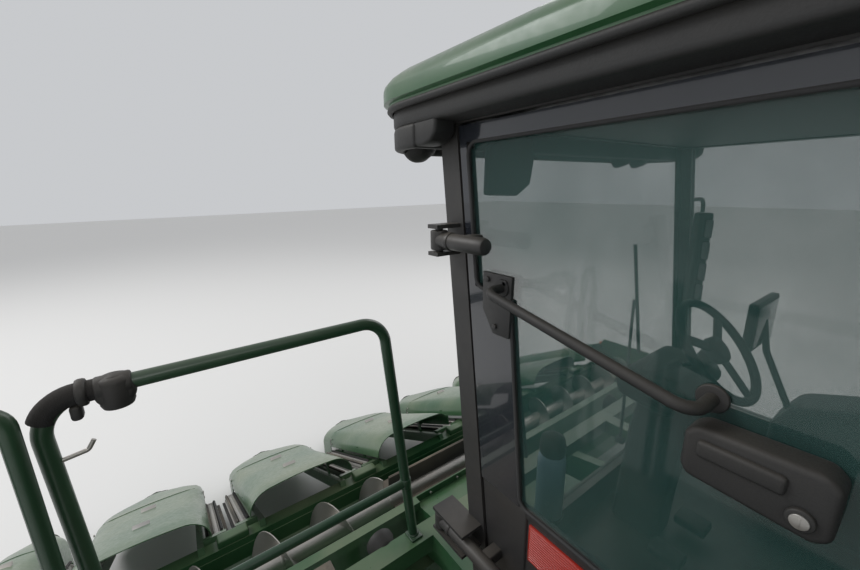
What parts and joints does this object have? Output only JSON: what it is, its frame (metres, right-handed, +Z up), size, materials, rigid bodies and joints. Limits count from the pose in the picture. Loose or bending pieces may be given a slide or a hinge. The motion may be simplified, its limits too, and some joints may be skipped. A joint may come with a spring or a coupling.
{
  "type": "cotton harvester",
  "caption": "Self-propelled cotton harvester with a cab and platform, a row header with stripper rolls and cross auger, an air duct, a cleaner and a side-tipping basket.",
  "frame": {"origin": "middle of the bounding box on the ground under the machine", "axes": "+Z up; the front with the row header faces -Y; the machine's left side, with the door and ladder, is +X"},
  "size_m": [6.24, 10.11, 5.13],
  "materials": {
    "paint_green": "satin",
    "paint_dark": "satin",
    "paint_yellow": "satin",
    "bare_steel": "brushed",
    "tyre_rubber": "matt",
    "bat_rubber": "matt",
    "tinted_glass": "clear",
    "dusty_tan": "matt",
    "seat_cloth": "matt",
    "trim_plastic": "matt",
    "lamp_shell": "gloss",
    "cast_grey": "matt",
    "snout_plastic": "satin",
    "chrome_rod": "polished"
  },
  "bodies": {
    "chassis": {"main_frame": "paint_green", "front_axle": "paint_green", "rear_axle": "paint_green", "engine_block": "cast_grey", "engine_housing": "paint_green", "side_tanks": "trim_plastic", "rear_locker": "paint_green", "field_cleaner": "paint_green", "air_duct": "paint_green", "blower": "paint_dark", "exhaust_stack": "paint_dark", "cab_shell": "paint_green", "cab_roof": "paint_green", "cab_visor": "trim_plastic", "cab_glass": "tinted_glass", "operator_seat": "seat_cloth", "cab_controls": "trim_plastic", "platform": "paint_dark", "handrails": "paint_green", "ladders": "paint_green", "lamps_mirrors": "lamp_shell"},
    "door": {"door_frame": "paint_dark", "door_glass": "tinted_glass"},
    "header": {"header_trough": "paint_green", "row_frames": "paint_green", "divider_shells": "paint_green", "divider_snouts": "snout_plastic", "intake_duct": "paint_green"},
    "auger": {"cross_auger": "bare_steel"},
    "roll_1_left": {"roll_1_left": "bat_rubber"},
    "roll_1_right": {"roll_1_right": "bat_rubber"},
    "roll_2_left": {"roll_2_left": "bat_rubber"},
    "roll_2_right": {"roll_2_right": "bat_rubber"},
    "roll_3_left": {"roll_3_left": "bat_rubber"},
    "roll_3_right": {"roll_3_right": "bat_rubber"},
    "roll_4_left": {"roll_4_left": "bat_rubber"},
    "roll_4_right": {"roll_4_right": "bat_rubber"},
    "roll_5_left": {"roll_5_left": "bat_rubber"},
    "roll_5_right": {"roll_5_right": "bat_rubber"},
    "roll_6_left": {"roll_6_left": "bat_rubber"},
    "roll_6_right": {"roll_6_right": "bat_rubber"},
    "lift_barrels": {"lift_barrels": "paint_dark"},
    "lift_rods": {"lift_rods": "chrome_rod"},
    "basket": {"basket_shell": "paint_green", "basket_hood": "dusty_tan"},
    "gate": {"dump_gate": "dusty_tan"},
    "tip_barrels": {"tip_barrels": "paint_dark"},
    "tip_rods": {"tip_rods": "chrome_rod"},
    "drive_wheel_left": {"drive_tyre_left": "tyre_rubber", "drive_rim_left": "paint_yellow"},
    "knuckle_left": {"knuckle_left": "paint_green"},
    "steer_wheel_left": {"steer_tyre_left": "tyre_rubber", "steer_rim_left": "paint_yellow"},
    "drive_wheel_right": {"drive_tyre_right": "tyre_rubber", "drive_rim_right": "paint_yellow"},
    "knuckle_right": {"knuckle_right": "paint_green"},
    "steer_wheel_right": {"steer_tyre_right": "tyre_rubber", "steer_rim_right": "paint_yellow"},
    "tie_rod": {"tie_rod": "bare_steel"},
    "steering_wheel": {"steering_wheel": "trim_plastic"}
  },
  "joints": [
    {"name": "drive_spin_left", "type": "hinge", "parent": "chassis", "child": "drive_wheel_left", "pos_m": [1.45, -0.415, 0.81], "axis": [1, 0, 0], "continuous": true},
    {"name": "drive_spin_right", "type": "hinge", "parent": "chassis", "child": "drive_wheel_right", "pos_m": [-1.45, -0.415, 0.81], "axis": [1, 0, 0], "continuous": true},
    {"name": "steer_left", "type": "hinge", "parent": "chassis", "child": "knuckle_left", "pos_m": [1.12, 3.585, 0.7], "axis": [0, 0, 1], "range_deg": [-35, 35]},
    {"name": "steer_spin_left", "type": "hinge", "parent": "knuckle_left", "child": "steer_wheel_left", "pos_m": [1.43, 3.585, 0.625], "axis": [1, 0, 0], "continuous": true},
    {"name": "steer_right", "type": "hinge", "parent": "chassis", "child": "knuckle_right", "pos_m": [-1.12, 3.585, 0.7], "axis": [0, 0, 1], "range_deg": [-35, 35]},
    {"name": "steer_spin_right", "type": "hinge", "parent": "knuckle_right", "child": "steer_wheel_right", "pos_m": [-1.43, 3.585, 0.625], "axis": [1, 0, 0], "continuous": true},
    {"name": "tie_rod_swing", "type": "hinge", "parent": "knuckle_left", "child": "tie_rod", "pos_m": [1.12, 3.845, 0.535], "axis": [0, 0, 1], "range_deg": [-35, 35]},
    {"name": "header_lift", "type": "hinge", "parent": "chassis", "child": "header", "pos_m": [0, -1.565, 1.05], "axis": [-1, 0, 0], "range_deg": [0, 15]},
    {"name": "lift_barrel_pivot", "type": "hinge", "parent": "chassis", "child": "lift_barrels", "pos_m": [0, -0.765, 0.62], "axis": [-1, 0, 0], "range_deg": [-1, 9]},
    {"name": "lift_rod_slide", "type": "slide", "parent": "lift_barrels", "child": "lift_rods", "axis": [0, -0.997, -0.0772], "range_m": [-0.005, 0.125]},
    {"name": "auger_spin", "type": "hinge", "parent": "header", "child": "auger", "pos_m": [0, -2.845, 0.85], "axis": [1, 0, 0], "continuous": true},
    {"name": "roll_1_left_spin", "type": "hinge", "parent": "header", "child": "roll_1_left", "pos_m": [-2.454, -4.295, 0.3], "axis": [0, 0.891, 0.454], "continuous": true},
    {"name": "roll_1_right_spin", "type": "hinge", "parent": "header", "child": "roll_1_right", "pos_m": [-2.626, -4.295, 0.3], "axis": [0, 0.891, 0.454], "continuous": true},
    {"name": "roll_2_left_spin", "type": "hinge", "parent": "header", "child": "roll_2_left", "pos_m": [-1.438, -4.295, 0.3], "axis": [0, 0.891, 0.454], "continuous": true},
    {"name": "roll_2_right_spin", "type": "hinge", "parent": "header", "child": "roll_2_right", "pos_m": [-1.61, -4.295, 0.3], "axis": [0, 0.891, 0.454], "continuous": true},
    {"name": "roll_3_left_spin", "type": "hinge", "parent": "header", "child": "roll_3_left", "pos_m": [-0.422, -4.295, 0.3], "axis": [0, 0.891, 0.454], "continuous": true},
    {"name": "roll_3_right_spin", "type": "hinge", "parent": "header", "child": "roll_3_right", "pos_m": [-0.594, -4.295, 0.3], "axis": [0, 0.891, 0.454], "continuous": true},
    {"name": "roll_4_left_spin", "type": "hinge", "parent": "header", "child": "roll_4_left", "pos_m": [0.594, -4.295, 0.3], "axis": [0, 0.891, 0.454], "continuous": true},
    {"name": "roll_4_right_spin", "type": "hinge", "parent": "header", "child": "roll_4_right", "pos_m": [0.422, -4.295, 0.3], "axis": [0, 0.891, 0.454], "continuous": true},
    {"name": "roll_5_left_spin", "type": "hinge", "parent": "header", "child": "roll_5_left", "pos_m": [1.61, -4.295, 0.3], "axis": [0, 0.891, 0.454], "continuous": true},
    {"name": "roll_5_right_spin", "type": "hinge", "parent": "header", "child": "roll_5_right", "pos_m": [1.438, -4.295, 0.3], "axis": [0, 0.891, 0.454], "continuous": true},
    {"name": "roll_6_left_spin", "type": "hinge", "parent": "header", "child": "roll_6_left", "pos_m": [2.626, -4.295, 0.3], "axis": [0, 0.891, 0.454], "continuous": true},
    {"name": "roll_6_right_spin", "type": "hinge", "parent": "header", "child": "roll_6_right", "pos_m": [2.454, -4.295, 0.3], "axis": [0, 0.891, 0.454], "continuous": true},
    {"name": "basket_tip", "type": "hinge", "parent": "chassis", "child": "basket", "pos_m": [1.905, 3.285, 3.3], "axis": [0, 1, 0], "range_deg": [0, 95]},
    {"name": "tip_barrel_pivot", "type": "hinge", "parent": "chassis", "child": "tip_barrels", "pos_m": [1.25, 3.285, 1.15], "axis": [0, 1, 0], "range_deg": [-1, 24]},
    {"name": "tip_rod_slide", "type": "slide", "parent": "tip_barrels", "child": "tip_rods", "axis": [-0.2609, 0, 0.9654], "range_m": [-0.005, 1.452]},
    {"name": "gate_swing", "type": "hinge", "parent": "basket", "child": "gate", "pos_m": [1.50496, 3.285, 5.09489], "axis": [0, -1, 0], "range_deg": [0, 81]},
    {"name": "steering_wheel_turn", "type": "hinge", "parent": "chassis", "child": "steering_wheel", "pos_m": [0.05, -1.065, 2.63], "axis": [0, 0.766, 0.6428], "continuous": true},
    {"name": "door_swing", "type": "hinge", "parent": "chassis", "child": "door", "pos_m": [0.925, -1.58, 2.5], "axis": [0, 0, -1], "range_deg": [0, 62]}
  ],
  "couplings": [
    {"joint": "steer_right", "follows": "steer_left", "ratio": 1},
    {"joint": "tie_rod_swing", "follows": "steer_left", "ratio": -1},
    {"joint": "lift_barrel_pivot", "follows": "header_lift", "ratio": 0.5077},
    {"joint": "lift_rod_slide", "follows": "header_lift", "m_per_rad": 0.43828},
    {"joint": "tip_barrel_pivot", "follows": "basket_tip", "ratio": 0.2415},
    {"joint": "tip_rod_slide", "follows": "basket_tip", "m_per_rad": 0.86944},
    {"joint": "gate_swing", "follows": "basket_tip", "ratio": 0.8421}
  ]
}
